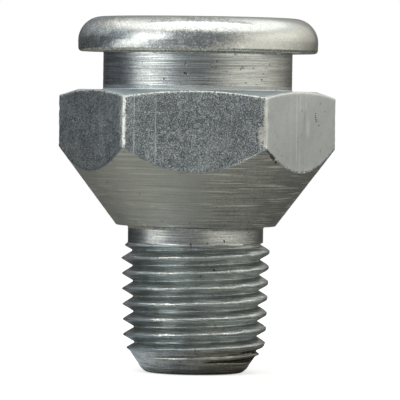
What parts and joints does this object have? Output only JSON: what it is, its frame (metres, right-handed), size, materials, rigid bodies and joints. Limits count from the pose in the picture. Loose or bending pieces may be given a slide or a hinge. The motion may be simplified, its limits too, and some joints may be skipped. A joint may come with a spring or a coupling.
{
  "type": "button head grease fitting",
  "caption": "Flat button head grease fitting with a hexagon, a cone shoulder and a taper pipe thread, with a sprung check ball under its inlet.",
  "frame": {"origin": "centre of the thread's end face, where the axis meets the lowest plane", "axes": "+Z along the fitting's axis from the thread's end up to the button head; the hexagon has flats across Y and corners on X"},
  "size_m": [0.0254, 0.0222, 0.0327],
  "materials": {
    "plated_steel": "zinc plated turned steel, satin, with fine turning lines",
    "ball_steel": "polished bearing steel",
    "spring_steel": "drawn spring wire"
  },
  "bodies": {
    "housing": {"fitting_body": "plated_steel", "check_spring": "spring_steel"},
    "ball": {"check_ball": "ball_steel"}
  },
  "joints": [
    {"name": "ball_open", "type": "slide", "parent": "housing", "child": "ball", "axis": [0, 0, -1], "range_m": [0, 0.004], "stiffness_N_per_m": 2100, "deforming": ["check_spring"]}
  ]
}
